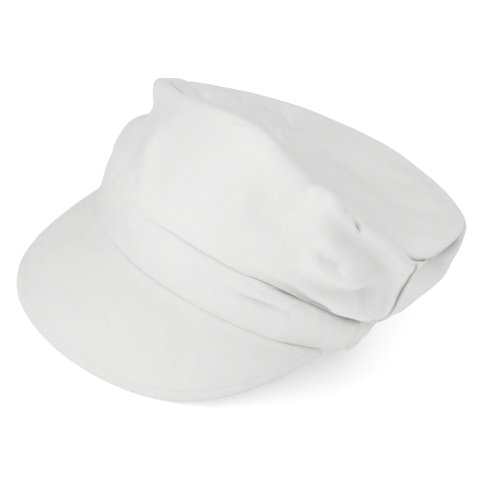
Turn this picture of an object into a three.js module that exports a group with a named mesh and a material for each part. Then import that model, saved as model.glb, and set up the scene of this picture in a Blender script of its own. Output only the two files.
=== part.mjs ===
// A soft white cloth work cap: a curved peak, a head band in two lengths, a tall front wall,
// a lower bagged back wall and a slack top panel, each a closed sheet of cloth.
//
// The cap is built standing square on its band: X to the wearer's left, Y to the back, Z up,
// with the middle of the band's lower edge at the origin. The whole cap is then leaned back until
// the peak's front edge and the back of the band both touch the floor, which is how it lies empty.
// Lengths are millimetres. Angles are degrees round the head from the front, towards the
// wearer's left.

import * as THREE from 'three';

const GAP = 0.3;                       // clear space between neighbouring pieces

const HEAD = {
  halfWidth: 89,                       // of the band's middle line, side to side
  halfLength: 96,                      // front to back
  power: 1.9,                          // 2 is an ellipse, less is more pointed at the front
};

const BAND = {
  height: 30,
  thickness: 2.2,                      // two layers of cloth with their turnings
  seamAngle: 92,                       // side seams at the lower edge
  seamSlant: 9,                        // how far the seams run forward on the way up
  gathers: 13,                         // soft pleats round the back length
  gatherDepth: 0.9,
  gatherStart: 0.15,                   // share of each half over which the pleats set in
  pull: 3.5,                           // how far the gathered length is drawn in
  pullSpan: 25,                        // and the angle over which it comes in past each seam
};

const CLOTH = {
  thickness: 1.6,                      // crown cloth with its felled seams
  seamLift: 1.2,                       // crown's lower edge above the band's upper edge
  seamOut: 1.5,                        // and outside the band's face
  seamAngle: 90,                       // side seams between the front and back walls
  panelInset: 1.7,                     // top panel's edge inside the walls' middle line
};

const PEAK = {
  depth: 63.5,                         // from the band to the front edge, along the cloth
  halfAngle: 75,                       // where it meets the band's lower edge at each side
  fullness: 3.4,                       // how square the outline is
  droopFront: 51,                      // slope below the band's plane at the front
  droopSide: 34,                       // and at the sides
  crown: 2.5,                          // how far the cloth arches above a straight line
  thickness: 2.8,                      // two layers over a soft stiffener
  blunt: 0.997,                        // share of the half angle that is solid
};

const WALL_FOLD_FADE = 2;              // how soon a wall's folds are full away from its sewn edges
const TOP_FOLD_FADE = 8;               // and the top panel's away from the rim

const FLOOR_PRESS = 1.2;               // how far the soft contact edges are pressed flat

// The crown's wall at each angle: a curve from the band up to the rim. It leaves the band
// sagOut outward and sagDown downward, and meets the rim from rollOut outside and rollDrop below.
const SECTION_COLUMNS = ['angle', 'rimRadius', 'rimHeight', 'sagOut', 'sagDown', 'rollOut', 'rollDrop'];
const SECTIONS = [
  [-165, 118, 75, 22, 30, 8, 18],
  [-150, 116, 72, 22, 31, 8, 18],
  [-120, 109, 64, 18, 28, 8, 18],
  [-105, 101, 63, 12, 24, 6, 18],
  [-90, 94.5, 65, 6, 18, 3, 20],
  [-75, 87.5, 69.5, 5, 8, 2, 18],
  [-61, 86.5, 77.5, 4, -6, 3, 12],
  [-45, 84, 83.5, 3, -14, 2, 20],
  [-30, 83, 88, 3, -18, 4, 20],
  [-15, 84.5, 94, 3, -20, 4, 20],
  [0, 86, 100, 3, -20, 5, 20],
  [15, 85, 101, 3, -18, 7, 18],
  [30, 85, 93, 4, -10, 9, 20],
  [45, 88, 89, 5, 2, 9, 22],
  [60, 91, 80, 8, 14, 9, 22],
  [75, 95, 75, 9, 22, 9, 22],
  [90, 99.5, 67, 8, 23, 8, 20],
  [105, 103, 77, 10, 22, 10, 24],
  [120, 106.5, 82, 13, 22, 13, 28],
  [150, 115, 80, 20, 27, 9, 20],
  [180, 119.5, 78, 24, 32, 9, 18],
];

// Dents and soft folds in the walls: rise is the share of the way from the band to the rim,
// and push is outward.
const WALL_FOLD_COLUMNS = ['angle', 'rise', 'angleSpan', 'riseSpan', 'push'];
const WALL_FOLDS = [
  [-68, 0.64, 13, 0.15, -6],           // hollow under the standing right corner
  [-22, 0.5, 7, 0.45, 2.5],            // upright ridge between the front and right faces
  [35, 0.62, 9, 0.12, -2],             // dent below the rolled front edge
  [62, 0.62, 8, 0.07, -3],             // level dents in the left lobe
  [72, 0.3, 10, 0.07, -2.5],
  [58, 0.95, 3, 0.08, -3],             // pucker where the rolled edge ends
  [105, 0.88, 12, 0.05, -4],           // groove under the back rim's lip
  [150, 0.5, 8, 0.25, -4],             // slack folds in the bagged back
  [-140, 0.5, 9, 0.25, -4],
  [-175, 0.55, 7, 0.3, -3],
];

// Dips and rises in the top panel: reach is the share of the way from the middle to the rim.
const TOP_FOLD_COLUMNS = ['angle', 'reach', 'angleSpan', 'reachSpan', 'lift'];
const TOP_FOLDS = [
  [-75, 0.72, 16, 0.14, -3],           // dimples behind the right corner
  [-100, 0.55, 16, 0.14, -3],
  [40, 0.86, 9, 0.05, -2],             // crease behind the rolled front edge
  [90, 0.93, 7, 0.07, -2],             // pleats at the side seams
  [-90, 0.93, 7, 0.07, -2],
];
const TOP_SAG = 3;                     // slackness at the middle of the top panel

const HARMONICS = 14;                  // waves round the rim that the top panel carries inward
const RIM_SAMPLES = 360;               // places round the rim that they are worked out from

const MESH = {
  bandFrontSteps: 44,
  bandBackSteps: 65,
  bandRiseSteps: 2,
  frontSteps: 50,
  backSteps: 50,
  wallRiseSteps: 9,
  topSteps: 80,
  topReachSteps: 6,
  peakSteps: 40,
  peakReachSteps: 5,
  nudge: 1e-3,                         // share of a sheet over which its slope is taken
  poleNudge: 0.02,                     // and how far from its pole, where columns meet
};

const FINISH = {
  cloth: { color: 0xe9e9e7, roughness: 0.92, metalness: 0 },
  peakCloth: { color: 0xe6e6e4, roughness: 0.9, metalness: 0 },
};

const radians = THREE.MathUtils.degToRad;

function namedRows(columns, rows) {
  return rows.map((row) => Object.fromEntries(columns.map((column, i) => [column, row[i]])));
}

const sections = namedRows(SECTION_COLUMNS, SECTIONS);
const wallFolds = namedRows(WALL_FOLD_COLUMNS, WALL_FOLDS);
const topFolds = namedRows(TOP_FOLD_COLUMNS, TOP_FOLDS);

// Shortest turn from one angle to another, in -180..180.
function turn(from, to) {
  return THREE.MathUtils.euclideanModulo(to - from + 180, 360) - 180;
}

// A smooth curve round the head through one column of the sections.
function sectionValue(column, angle) {
  const count = sections.length;
  const at = (i) => sections[THREE.MathUtils.euclideanModulo(i, count)];
  const offset = THREE.MathUtils.euclideanModulo(angle - sections[0].angle, 360);
  let i = count - 1;
  while (sections[i].angle - sections[0].angle > offset) i -= 1;
  const width = (a, b) => THREE.MathUtils.euclideanModulo(at(b).angle - at(a).angle, 360);
  const slope = (k) => (at(k + 1)[column] - at(k - 1)[column]) / (width(k - 1, k) + width(k, k + 1));
  const span = width(i, i + 1);
  const t = (offset - (sections[i].angle - sections[0].angle)) / span;
  const start = at(i)[column];
  const end = at(i + 1)[column];
  const a = start * (2 * t ** 3 - 3 * t ** 2 + 1) + end * (3 * t ** 2 - 2 * t ** 3);
  return a + span * (slope(i) * (t ** 3 - 2 * t ** 2 + t) + slope(i + 1) * (t ** 3 - t ** 2));
}

function bell(distance, span) {
  return Math.exp(-((distance / span) ** 2));
}

function around(angle, radius, height) {
  const a = radians(angle);
  return new THREE.Vector3(radius * Math.sin(a), -radius * Math.cos(a), height);
}

function bandRadius(angle) {
  const a = radians(angle);
  const across = Math.abs(Math.sin(a)) / HEAD.halfWidth;
  const along = Math.abs(Math.cos(a)) / HEAD.halfLength;
  const round = (across ** HEAD.power + along ** HEAD.power) ** (-1 / HEAD.power);
  const pastSeam = Math.abs(turn(0, angle)) - BAND.seamAngle;
  return round - BAND.pull * THREE.MathUtils.smoothstep(pastSeam, 0, BAND.pullSpan);
}

function bezier(a, b, c, d, t) {
  const s = 1 - t;
  return a * s ** 3 + 3 * b * s ** 2 * t + 3 * c * s * t ** 2 + d * t ** 3;
}

function wallPoint(angle, rise) {
  const value = (column) => sectionValue(column, angle);
  const startRadius = bandRadius(angle) + BAND.thickness / 2 + CLOTH.seamOut;
  const startHeight = BAND.height + CLOTH.seamLift;
  const endRadius = value('rimRadius');
  const endHeight = value('rimHeight');
  const outAtBand = startRadius + value('sagOut');
  const outAtRim = endRadius + value('rollOut');
  let radius = bezier(startRadius, outAtBand, outAtRim, endRadius, rise);
  const downAtBand = startHeight - value('sagDown');
  const downAtRim = endHeight - value('rollDrop');
  const height = bezier(startHeight, downAtBand, downAtRim, endHeight, rise);
  const free = Math.sin(Math.PI * rise);             // both sewn edges stay where they are
  for (const fold of wallFolds) {
    const here = bell(turn(fold.angle, angle), fold.angleSpan) * bell(rise - fold.rise, fold.riseSpan);
    radius += fold.push * here * Math.min(1, WALL_FOLD_FADE * free);
  }
  return around(angle, radius, height);
}

// The rim's height as a sum of waves, so that the top panel can carry it inward as a
// stretched cloth does: each wave dies away the faster, the shorter it is.
function rimWaves(samples) {
  const heights = Array.from(
    { length: samples },
    (_, i) => sectionValue('rimHeight', (360 * i) / samples),
  );
  return Array.from({ length: HARMONICS + 1 }, (_, n) => {
    let cosine = 0;
    let sine = 0;
    heights.forEach((height, i) => {
      cosine += (height * Math.cos((2 * Math.PI * n * i) / samples)) / samples;
      sine += (height * Math.sin((2 * Math.PI * n * i) / samples)) / samples;
    });
    const share = n === 0 ? 1 : 2;
    return { cosine: cosine * share, sine: sine * share };
  });
}

const waves = rimWaves(RIM_SAMPLES);

function topPoint(angle, reach) {
  const a = radians(angle);
  let carried = 0;
  let atRim = 0;
  waves.forEach((wave, n) => {
    const value = wave.cosine * Math.cos(n * a) + wave.sine * Math.sin(n * a);
    carried += value * reach ** n;
    atRim += value;
  });
  const shortfall = sectionValue('rimHeight', angle) - atRim;
  let height = carried + shortfall * reach ** HARMONICS - TOP_SAG * (1 - reach ** 2);
  for (const fold of topFolds) {
    const here = bell(turn(fold.angle, angle), fold.angleSpan) * bell(reach - fold.reach, fold.reachSpan);
    height += fold.lift * here * Math.min(1, TOP_FOLD_FADE * (1 - reach));
  }
  const radius = reach * (sectionValue('rimRadius', angle) - CLOTH.panelInset);
  return around(angle, radius, height);
}

// Side seam of the band, slanting forward on the way up.
function bandSeam(rise) {
  return BAND.seamAngle - BAND.seamSlant * rise;
}

function bandPoint(angle, rise) {
  const back = 180 - Math.abs(turn(180, angle));     // 180 at the back, 0 at the front
  const seam = bandSeam(rise);
  const along = THREE.MathUtils.clamp((back - seam) / (180 - seam), 0, 1);
  const pleat = Math.cos(Math.PI * BAND.gathers * along);      // along covers half of the back
  const ease = THREE.MathUtils.smoothstep(along, 0, BAND.gatherStart);
  return around(angle, bandRadius(angle) + BAND.gatherDepth * pleat * ease, BAND.height * rise);
}

// The peak's cloth at a share across (-1 right end, 1 left end) and a share of the way out.
function peakPoint(across, out) {
  const angle = PEAK.halfAngle * across;
  const reach = PEAK.depth * Math.sqrt(1 - Math.abs(across) ** PEAK.fullness);
  const droop = radians(PEAK.droopFront + (PEAK.droopSide - PEAK.droopFront) * across ** 2);
  const arch = PEAK.crown * Math.sin(Math.PI * out) * (reach / PEAK.depth);
  const forward = reach * out * Math.cos(droop) + arch * Math.sin(droop);
  const down = reach * out * Math.sin(droop) - arch * Math.cos(droop);
  const start = around(angle, bandRadius(angle), -(PEAK.thickness / 2) * Math.cos(droop) - GAP);
  return start.add(new THREE.Vector3(0, -forward, -down));
}

// Closed sheet of cloth around a middle surface point(u, v), u and v in 0..1. The side that
// shows is the one that u turns towards v about. A wrapped sheet closes round on itself in u,
// and a poled one starts from one point at v = 0.
function sheetSolid(point, uSteps, vSteps, thickness, { wrap = false, pole = false } = {}) {
  const positions = [];
  const faces = [];
  const { nudge, poleNudge } = MESH;
  const across = new THREE.Vector3();
  const up = new THREE.Vector3();
  const addLayers = (u, v) => {
    const vInside = pole && v === 0 ? poleNudge : v;
    const uLow = wrap ? u - nudge : Math.max(0, u - nudge);
    const uHigh = wrap ? u + nudge : Math.min(1, u + nudge);
    across.subVectors(point(uHigh, vInside), point(uLow, vInside));
    up.subVectors(point(u, Math.min(1, vInside + nudge)), point(u, Math.max(0, vInside - nudge)));
    const normal = pole && v === 0 ? new THREE.Vector3(0, 0, 1) : across.cross(up).normalize();
    const middle = point(u, v);
    const first = positions.length / 3;
    for (const side of [0.5, -0.5]) {
      positions.push(...middle.clone().addScaledVector(normal, side * thickness).toArray());
    }
    return { outer: first, inner: first + 1 };
  };
  const columns = wrap ? uSteps : uSteps + 1;
  const poleLayers = pole ? addLayers(0, 0) : null;
  const grid = Array.from({ length: columns }, (_, i) => Array.from(
    { length: vSteps + 1 },
    (__, j) => (pole && j === 0 ? poleLayers : addLayers(i / uSteps, j / vSteps)),
  ));
  const quad = (a, b, c, d) => {
    for (const [p, q, r] of [[a, b, c], [a, c, d]]) {
      if (p !== q && q !== r && r !== p) faces.push(p, q, r);
    }
  };
  for (let i = 0; i < uSteps; i += 1) {
    const here = grid[i];
    const next = grid[(i + 1) % columns];
    for (let j = 0; j < vSteps; j += 1) {
      quad(here[j].outer, next[j].outer, next[j + 1].outer, here[j + 1].outer);
      quad(here[j].inner, here[j + 1].inner, next[j + 1].inner, next[j].inner);
    }
    if (!pole) quad(here[0].outer, here[0].inner, next[0].inner, next[0].outer);
    quad(here[vSteps].outer, next[vSteps].outer, next[vSteps].inner, here[vSteps].inner);
  }
  if (!wrap) {
    const first = grid[0];
    const last = grid[columns - 1];
    for (let j = 0; j < vSteps; j += 1) {
      quad(first[j].outer, first[j + 1].outer, first[j + 1].inner, first[j].inner);
      quad(last[j].outer, last[j].inner, last[j + 1].inner, last[j + 1].outer);
    }
  }
  const geometry = new THREE.BufferGeometry();
  geometry.setAttribute('position', new THREE.Float32BufferAttribute(positions, 3));
  geometry.setIndex(faces);
  return geometry;
}

function piece(name, geometry, finish) {
  geometry.computeVertexNormals();
  const mesh = new THREE.Mesh(geometry, new THREE.MeshStandardMaterial(finish));
  mesh.name = name;
  return mesh;
}

function mix(a, b, t) {
  return a + (b - a) * t;
}

const halfGapAngle = THREE.MathUtils.radToDeg(GAP / 2 / HEAD.halfWidth);

function makePeak() {
  const point = (u, v) => peakPoint(PEAK.blunt * Math.sin(Math.PI * (u - 0.5)), 1 - v);
  const geometry = sheetSolid(point, MESH.peakSteps, MESH.peakReachSteps, PEAK.thickness);
  return piece('peak', geometry, FINISH.peakCloth);
}

function makeBandFront() {
  const point = (u, v) => {
    const end = bandSeam(v) - halfGapAngle;
    return bandPoint(mix(-end, end, u), v);
  };
  const geometry = sheetSolid(point, MESH.bandFrontSteps, MESH.bandRiseSteps, BAND.thickness);
  return piece('band_front', geometry, FINISH.cloth);
}

function makeBandBack() {
  const point = (u, v) => {
    const end = bandSeam(v) + halfGapAngle;
    return bandPoint(mix(end, 360 - end, u), v);
  };
  const geometry = sheetSolid(point, MESH.bandBackSteps, MESH.bandRiseSteps, BAND.thickness);
  return piece('band_back', geometry, FINISH.cloth);
}

function makeCrownFront() {
  const end = CLOTH.seamAngle - halfGapAngle;
  const point = (u, v) => wallPoint(mix(-end, end, u), v);
  const geometry = sheetSolid(point, MESH.frontSteps, MESH.wallRiseSteps, CLOTH.thickness);
  return piece('crown_front', geometry, FINISH.cloth);
}

function makeCrownBack() {
  const end = CLOTH.seamAngle + halfGapAngle;
  const point = (u, v) => wallPoint(mix(end, 360 - end, u), v);
  const geometry = sheetSolid(point, MESH.backSteps, MESH.wallRiseSteps, CLOTH.thickness);
  return piece('crown_back', geometry, FINISH.cloth);
}

function makeCrownTop() {
  const point = (u, v) => topPoint(-360 * u, v);
  const shape = { wrap: true, pole: true };
  const geometry = sheetSolid(point, MESH.topSteps, MESH.topReachSteps, CLOTH.thickness, shape);
  return piece('crown_top', geometry, FINISH.cloth);
}

const cap = new THREE.Group();
cap.add(makePeak(), makeBandFront(), makeBandBack(), makeCrownFront(), makeCrownBack(), makeCrownTop());

// Lean that brings the underside of the peak's front edge and the back of the band to one level.
const droopAtFront = radians(PEAK.droopFront);
const underside = new THREE.Vector3(0, Math.sin(droopAtFront), -Math.cos(droopAtFront));
const peakTip = peakPoint(0, 1).addScaledVector(underside, PEAK.thickness / 2);
const bandBack = around(180, bandRadius(180) + BAND.thickness / 2, 0);
const restLean = Math.atan2(bandBack.z - peakTip.z, bandBack.y - peakTip.y);
cap.rotation.x = -restLean;

// The cloth that would lie lowest is pressed flat on the floor.
function pressOnFloor(group) {
  group.updateMatrixWorld(true);
  const floor = new THREE.Box3().setFromObject(group, true).min.z + FLOOR_PRESS;
  const upright = new THREE.Vector3(0, 0, 1).applyQuaternion(group.quaternion.clone().invert());
  for (const mesh of group.children) {
    const corners = mesh.geometry.attributes.position;
    for (let i = 0; i < corners.count; i += 1) {
      const corner = new THREE.Vector3().fromBufferAttribute(corners, i);
      const lift = Math.max(0, floor - corner.dot(upright));
      corner.addScaledVector(upright, lift);
      corners.setXYZ(i, corner.x, corner.y, corner.z);
    }
    mesh.geometry.computeVertexNormals();
  }
}

pressOnFloor(cap);

const part = new THREE.Group();
part.add(cap);
part.updateMatrixWorld(true);
const extent = new THREE.Box3().setFromObject(part, true);
const centre = extent.getCenter(new THREE.Vector3());
part.position.set(-centre.x, -centre.y, -extent.min.z);

export default part;
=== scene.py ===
"""A soft white cloth work cap, lying empty on the front edge of its peak and the back of its band.

The cap is worked out standing square on its band, in millimetres: X to the wearer's left, Y to
the back, Z up, with the middle of the band's lower edge at the origin. Angles are degrees round
the head from the front, towards the wearer's left. Every piece is then leaned back and put
where the frame has the band, in metres.
"""

import math

import bpy
import numpy as np
from mathutils import Matrix, Vector


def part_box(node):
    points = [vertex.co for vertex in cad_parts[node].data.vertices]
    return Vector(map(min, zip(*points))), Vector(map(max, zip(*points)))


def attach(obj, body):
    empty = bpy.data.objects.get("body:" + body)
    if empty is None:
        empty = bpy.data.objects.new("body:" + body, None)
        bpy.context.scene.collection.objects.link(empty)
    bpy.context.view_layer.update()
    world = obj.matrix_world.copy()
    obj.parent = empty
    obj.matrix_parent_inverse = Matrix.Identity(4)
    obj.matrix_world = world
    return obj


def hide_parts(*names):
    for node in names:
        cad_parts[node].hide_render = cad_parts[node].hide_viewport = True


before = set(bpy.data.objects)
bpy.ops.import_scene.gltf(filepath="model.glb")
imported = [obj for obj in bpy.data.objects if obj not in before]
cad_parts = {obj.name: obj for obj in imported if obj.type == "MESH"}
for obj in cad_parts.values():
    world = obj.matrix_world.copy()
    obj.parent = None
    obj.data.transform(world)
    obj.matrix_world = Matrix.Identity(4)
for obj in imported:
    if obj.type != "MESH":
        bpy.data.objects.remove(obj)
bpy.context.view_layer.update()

SEED = 7
TINY = 1e-9
FAR = 1e3  # further than any length on the cap, mm
MM = 1000  # in a metre

# ---- the cut of the cap, the same as in the CAD source ----

HEAD = {"half_width": 89, "half_length": 96, "power": 1.9}
BAND = {
    "height": 30, "thickness": 2.2, "seam_angle": 92, "seam_slant": 9, "pull": 3.5, "pull_span": 25,
}
CLOTH = {"seam_lift": 1.2, "seam_out": 1.5}
PEAK = {
    "depth": 63.5, "half_angle": 75, "fullness": 3.4, "droop_front": 51, "droop_side": 34,
    "crown": 2.5, "thickness": 2.8, "root_gap": 0.3,
}
SECTION_COLUMNS = ["angle", "rim_radius", "rim_height", "sag_out", "sag_down", "roll_out", "roll_drop"]
SECTIONS = [
    [-165, 118, 75, 22, 30, 8, 18],
    [-150, 116, 72, 22, 31, 8, 18],
    [-120, 109, 64, 18, 28, 8, 18],
    [-105, 101, 63, 12, 24, 6, 18],
    [-90, 94.5, 65, 6, 18, 3, 20],
    [-75, 87.5, 69.5, 5, 8, 2, 18],
    [-61, 86.5, 77.5, 4, -6, 3, 12],
    [-45, 84, 83.5, 3, -14, 2, 20],
    [-30, 83, 88, 3, -18, 4, 20],
    [-15, 84.5, 94, 3, -20, 4, 20],
    [0, 86, 100, 3, -20, 5, 20],
    [15, 85, 101, 3, -18, 7, 18],
    [30, 85, 93, 4, -10, 9, 20],
    [45, 88, 89, 5, 2, 9, 22],
    [60, 91, 80, 8, 14, 9, 22],
    [75, 95, 75, 9, 22, 9, 22],
    [90, 99.5, 67, 8, 23, 8, 20],
    [105, 103, 77, 10, 22, 10, 24],
    [120, 106.5, 82, 13, 22, 13, 28],
    [150, 115, 80, 20, 27, 9, 20],
    [180, 119.5, 78, 24, 32, 9, 18],
]
# Dents: angle, rise or reach, the spans of both, and the push or lift.
WALL_FOLDS = [
    [-68, 0.64, 13, 0.15, -6],
    [-22, 0.5, 7, 0.45, 2.5],
    [35, 0.62, 9, 0.12, -2],
    [105, 0.88, 12, 0.05, -4],
    [150, 0.5, 8, 0.25, -4],
    [-140, 0.5, 9, 0.25, -4],
    [-175, 0.55, 7, 0.3, -3],
]
TOP_FOLDS = [
    [-75, 0.72, 16, 0.14, -3],
    [-100, 0.55, 16, 0.14, -3],
    [40, 0.86, 9, 0.05, -2],
    [90, 0.93, 7, 0.07, -2],
    [-90, 0.93, 7, 0.07, -2],
]
TOP_SAG = 3
TOP_FOLD_FADE = 8  # keeps the top's folds off its middle
WALL_FOLD_FADE = 2  # and the wall's folds off its two edges
HARMONICS = 14  # waves round the rim that the top panel carries inward
RIM_SAMPLES = 360

# ---- the lie of the cloth ----
# Folds lie along a straight line from one place on the crown to another. A place is an angle and
# a level: 0 at the band, 1 at the rim, 2 at the middle of the top. After the two places come the
# width across the fold and the push outward. A sharp fold has a crisp bottom.
FOLDS = [
    # the standing right corner: a hollow below it, and the crest between the right and front faces
    [-94, 0.8, -42, 0.66, 6.5, -7.5],
    [-84, 0.6, -44, 0.5, 9, -1.6],
    [-74, 0.85, -38, 0.85, 6, 2.6],
    [-44, 0.94, -18, 0.5, 6, 1.2],
    [-26, 0.68, -10, 0, 6, 1.8],
    [-34, 0.44, -25, 0.14, 9, -1.6],
    [-60, 0.14, -34, 0.1, 9, 1],
    # the Y-shaped crease beside the right corner
    [-58, 1.05, -27, 1, 2.2, -1.3, "sharp"],
    [-118, 1, -66, 1, 6, 2.8],
    [-64, 0.99, -44, 0.98, 4, -1.2],
    # rolled front edge, its dents and its end pucker
    [4, 0.84, 38, 0.9, 6, 1.2],
    [43, 0.95, 53, 0.98, 4.5, 2.4],
    [35, 0.88, 40, 1.08, 3.4, -1.8],
    [20, 0.5, 42, 0.74, 14, -3.6],
    [30, 0.78, 46, 0.76, 8, -1.6],
    [10, 0.55, 26, 0.42, 9, -0.5],
    [57.5, 1.28, 61.2, 0.96, 2.8, -7, "sharp"],
    [64, 1.03, 92, 1.02, 5, 0.5],
    [-1, 0.9, 8, 0.95, 2, -0.3, "sharp"],
    # soft level dents in the left lobe
    [46, 0.87, 90, 0.84, 7, -7.5],
    [68, 0.7, 96, 0.78, 10, -3.8],
    [48, 0.72, 66, 0.76, 4.5, 2],
    [70, 0.52, 86, 0.62, 6, -2.4],
    [49, 0.6, 61, 0.66, 2.8, -3.4],
    [44, 0.5, 72, 0.7, 5.5, 5],
    [44, 0.32, 90, 0.74, 6, -6],
    [62, 0.28, 92, 0.5, 6, 1.6],
    [86, 0.24, 87, 0.84, 5.5, -2.2],
    [68, 0.66, 76, 0.46, 4, 1.2],
    [48, 0.1, 84, 0.2, 6, -2.6],
    [66, 0.22, 108, 0.34, 8, -2],
    # behind the side seam, under the back rim's lip
    [92, 0.92, 124, 0.94, 4.5, -7],
    [98, 0.88, 124, 0.78, 6, -2.4],
    [104, 0.84, 130, 0.7, 14, -1],
    [84, 1.06, 100, 0.99, 1.8, -4, "sharp"],
    [84, 0.42, 150, 0.6, 13, -3.2],
    [98, 0.74, 116, 0.78, 6, 1.4],
    [120, 0.3, 150, 0.46, 9, -1.6],
    [140, 0.7, 170, 0.62, 8, -3.6],
    [158, 0.26, 192, 0.44, 8, -4.4],
    [170, 0.6, 186, 0.52, 6, 1.8],
    [186, 0.76, 216, 0.58, 7, -4],
    [204, 0.34, 240, 0.52, 8, -4.6],
    [212, 0.62, 234, 0.74, 5, 1.8],
    [226, 0.84, 256, 0.68, 6, -3.6],
    [244, 0.44, 260, 0.3, 6, -3],
    [-112, 0.46, -92, 0.6, 7, -2],
    # dips and small creases on the top panel
    [-105, 1, -101, 1.26, 8, -2.4],
    [-107, 1.06, -106, 1.34, 3.5, -2.2],
    [-138, 1.12, -152, 1.46, 11, -2.8],
    [-144, 1.08, -148, 1.38, 5, -2.6],
    [-118, 1.1, -120, 1.3, 9, 1.8],
    [-125, 1.12, -122, 1.36, 3, -1.8],
    [40, 1.12, 60, 1.22, 6, -1.4],
    [-123, 1.47, -121, 1.82, 3, -1.4],
    [-152, 1.65, 93, 1.26, 20, -3],
    [178, 1.2, 128, 1.2, 12, 2],
    [-110, 1.12, -106, 1.24, 8, -2],
    [-133, 1.5, -129, 1.78, 4, 1.8],
    [100, 1.18, 140, 1.34, 10, -1.2],
    [150, 1.3, 190, 1.42, 12, -1],
]

# Round the right front the crown and the band lie flush, so their seam hardly shows.
FLUSH = {
    "angle": -44, "half_span": 32, "ease": 20, "band_out": 2.4, "band_in": 0.9, "lap": 4,
    "sink": 0.9, "slant": 0.9,
}
# Under the overhanging left lobe the seam is drawn in, and shade is painted into it, so a dark cleft
# shows.
CLEFT = {"angle": 62, "span": 19, "depth": 3.2}
# Round the far front the peak runs up into the band with no line between them.
SMOOTH_ROOT = {"to": -12, "ease": 10, "half_span": 120}
# Lengths round the head, in degrees: where each begins, is full, begins to end, and has ended.
STRETCHES = {
    "overhang": [30, 40, 110, 130],  # the crown hangs out over the band
    "cleft": [38, 52, 80, 92],  # the dark gap below it, drawn in and painted with shade
    "turned_foot": [52, 66, 98, 130],  # the band's foot turns under
    "lip": [90, 96, 118, 128],  # the back rim has a lip behind the left side seam
}

# Soft unevenness of the cloth: wavelength, layers, shift and height. Layers of noise make rounded
# swells. With no layers it is creases, which are narrow valleys.
UNEVEN = {
    "crown": [[38, 2, 3.7, 0.9], [18, 0, 9.2, 0.06], [13, 2, 21.2, 0.10]],
    "top": [[40, 1, 51.3, 1.7]],
    "crown_seams": [[6.2, 1, 40, 0.12]],
    "crown_foot": [[7.5, 1, 60, 0.22]],
    "band": [[24, 2, 5.5, 0.45], [11, 0, 2.2, 0.16]],
    "band_edges": [[5, 1, 30, 0.22]],
    "peak": [[36, 2, 8.5, 0.9], [16, 0, 4.4, 0.10]],
    "peak_edge": [[7.5, 1, 70, 0.14]],
}

# ---- small helpers ----


def smoothstep(value, low, high):
    t = np.clip((value - low) / (high - low), 0, 1)
    return t * t * (3 - 2 * t)


def bell(distance, span):
    return np.exp(-((distance / span) ** 2))


def turn(start, angle):
    """Shortest turn from one angle to another, in -180..180."""
    return (angle - start + 180) % 360 - 180


def around(angle, radius, height):
    a = np.radians(angle)
    return np.stack(np.broadcast_arrays(radius * np.sin(a), -radius * np.cos(a), height), axis=-1)


def flush(angle):
    past = np.abs(turn(FLUSH["angle"], angle)) - FLUSH["half_span"]
    return 1 - smoothstep(past, 0, FLUSH["ease"])


def stretch(name, angle):
    """1 along a named length round the head, and 0 outside it."""
    begins, full, ending, ended = STRETCHES[name]
    return smoothstep(angle, begins, full) * (1 - smoothstep(angle, ending, ended))


def root(angle):
    """1 where the peak runs smoothly into the band."""
    ease = SMOOTH_ROOT["ease"]
    share = smoothstep(-turn(SMOOTH_ROOT["to"], angle), -ease, ease)
    return share * (np.abs(angle) < SMOOTH_ROOT["half_span"])


def unit(vectors):
    return vectors / np.maximum(np.linalg.norm(vectors, axis=-1, keepdims=True), TINY)


def graded(steps, even, both=True):
    """Shares from 0 to 1 that lie closer together at the ends, or only at the start."""
    u = np.linspace(0, 1, steps + 1)
    close = (1 - np.cos(np.pi * u)) / 2 if both else 1 - np.cos(np.pi * u / 2)
    return even * u + (1 - even) * close


# ---- gradient noise ----

_rng = np.random.default_rng(SEED)
_LATTICE = 256
_ORDER = np.tile(_rng.permutation(_LATTICE), 2)
_SLOPES = unit(_rng.normal(size=(_LATTICE, 3)))
NOISE_GAIN = 1.6
LAYER = {"finer": 2.03, "weaker": 0.5, "moved": 17.3}
CREASES = {"slower": 2.2, "moved": 5.1, "wander": 0.7, "valley": 0.22}


def noise(points):
    """Smooth noise in about -1..1 at points whose unit is the noise's wavelength."""
    cell = np.floor(points).astype(int)
    f = points - cell
    ease = f**3 * (f * (f * 6 - 15) + 10)
    total = 0
    for corner in np.ndindex(2, 2, 2):
        c = (cell + corner) % _LATTICE
        index = _ORDER[_ORDER[_ORDER[c[..., 0]] + c[..., 1]] + c[..., 2]]
        value = np.sum(_SLOPES[index] * (f - corner), axis=-1)
        share = np.where(corner, ease, 1 - ease).prod(axis=-1)
        total = total + value * share
    return total * NOISE_GAIN


def swells(points, wavelength, layers, shift):
    """Rounded swells: layers of noise, each finer and weaker than the one before."""
    p = points / wavelength + shift
    total = 0
    for k in range(layers):
        total = total + noise(p * LAYER["finer"] ** k + LAYER["moved"] * k) * LAYER["weaker"] ** k
    return total


def creases(points, wavelength, shift):
    """Soft creases: narrow valleys that wander, with broad rises between them."""
    slow = points / (wavelength * CREASES["slower"]) + shift
    wander = np.stack([noise(slow + k * CREASES["moved"]) for k in range(3)], axis=-1)
    n = noise(points / wavelength + shift + wander * CREASES["wander"])
    return 1 - 2 * bell(n, CREASES["valley"])


def uneven(name, points):
    """Height of the named unevenness at each point, in mm."""
    total = 0
    for wavelength, layers, shift, height in UNEVEN[name]:
        if layers:
            total = total + height * swells(points, wavelength, layers, shift)
        else:
            total = total + height * creases(points, wavelength, shift)
    return total


# ---- the middle surfaces, standing square ----


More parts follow.
